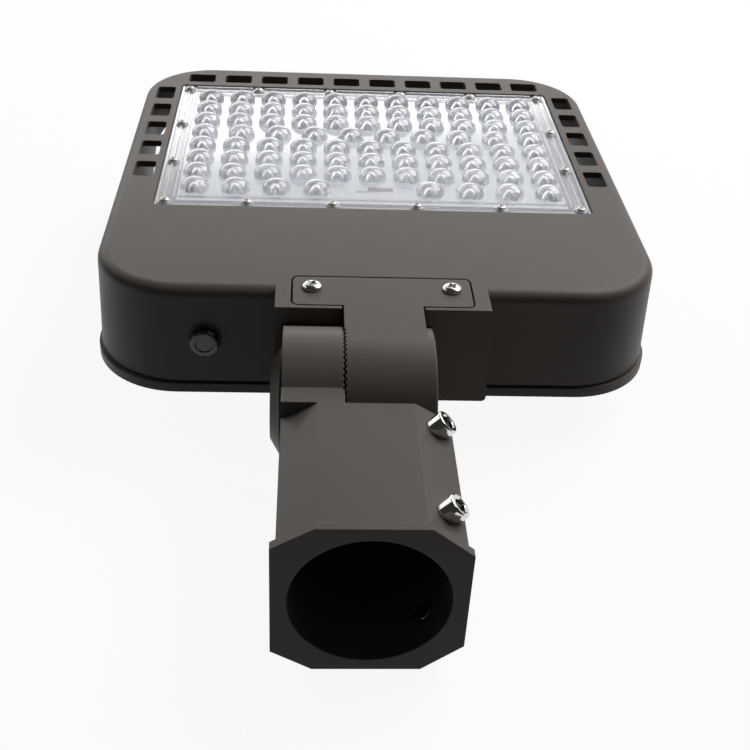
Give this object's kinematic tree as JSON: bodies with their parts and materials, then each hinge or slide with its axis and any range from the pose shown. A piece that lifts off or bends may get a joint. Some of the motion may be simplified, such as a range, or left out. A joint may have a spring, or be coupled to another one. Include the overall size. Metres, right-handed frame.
{
  "type": "led street light",
  "caption": "Flat LED area light with domed lenses, rim vents, rear fins and a serrated tilting slip fitter that clamps on a round tenon.",
  "frame": {"origin": "centre of the tenon bore's mouth, on the bore's axis", "axes": "+X right, +Y into the bore and along the head, +Z out of the optic face, the light lying on its back"},
  "size_m": [0.283, 0.4421, 0.0868],
  "materials": {
    "cast_paint": "satin powder coat",
    "cover_paint": "satin powder coat",
    "lens": "clear polycarbonate, moulded",
    "silicone": "matte",
    "black_rubber": "matte",
    "stainless": "polished",
    "plated": "bright plated",
    "board_white": "white solder mask",
    "phosphor": "matte",
    "black_plastic": "fine matte",
    "wire": "silicone insulation",
    "driver_case": "plain"
  },
  "bodies": {
    "fitter": {"slip_fitter": "cast_paint", "pivot_bolt": "stainless", "pivot_washer": "stainless", "pivot_nut": "stainless", "knuckle_cap": "cover_paint", "wire_grommet": "black_rubber"},
    "head": {"housing": "cast_paint", "arm_bracket": "cast_paint", "arm_screws": "stainless", "rear_cover": "cover_paint", "cover_gasket": "black_rubber", "cover_screws": "stainless", "lens_plate": "lens", "lens_gasket": "silicone", "lens_screws": "stainless", "led_board": "board_white", "led_chips": "phosphor", "board_screws": "stainless", "lead_connector": "board_white", "lead_wires": "wire", "driver": "driver_case", "driver_screws": "stainless", "surge_protector": "black_plastic", "terminal_block": "black_plastic", "breather_plug": "black_plastic", "plug_washer": "black_rubber"},
    "set_screw_front_upper": {"set_screw_front_upper": "plated"},
    "set_screw_rear_upper": {"set_screw_rear_upper": "plated"},
    "set_screw_front_lower": {"set_screw_front_lower": "plated"},
    "set_screw_rear_lower": {"set_screw_rear_lower": "plated"}
  },
  "joints": [
    {"name": "head_tilt", "type": "hinge", "parent": "fitter", "child": "head", "pos_m": [0, 0.1156, 0.0105], "axis": [1, 0, 0], "range_deg": [-60, 90]},
    {"name": "screw_in_front_upper", "type": "slide", "parent": "fitter", "child": "set_screw_front_upper", "axis": [-0.7071, 0, -0.7071], "range_m": [0, 0.008]},
    {"name": "screw_in_rear_upper", "type": "slide", "parent": "fitter", "child": "set_screw_rear_upper", "axis": [-0.7071, 0, -0.7071], "range_m": [0, 0.008]},
    {"name": "screw_in_front_lower", "type": "slide", "parent": "fitter", "child": "set_screw_front_lower", "axis": [-0.7071, 0, 0.7071], "range_m": [0, 0.008]},
    {"name": "screw_in_rear_lower", "type": "slide", "parent": "fitter", "child": "set_screw_rear_lower", "axis": [-0.7071, 0, 0.7071], "range_m": [0, 0.008]}
  ]
}
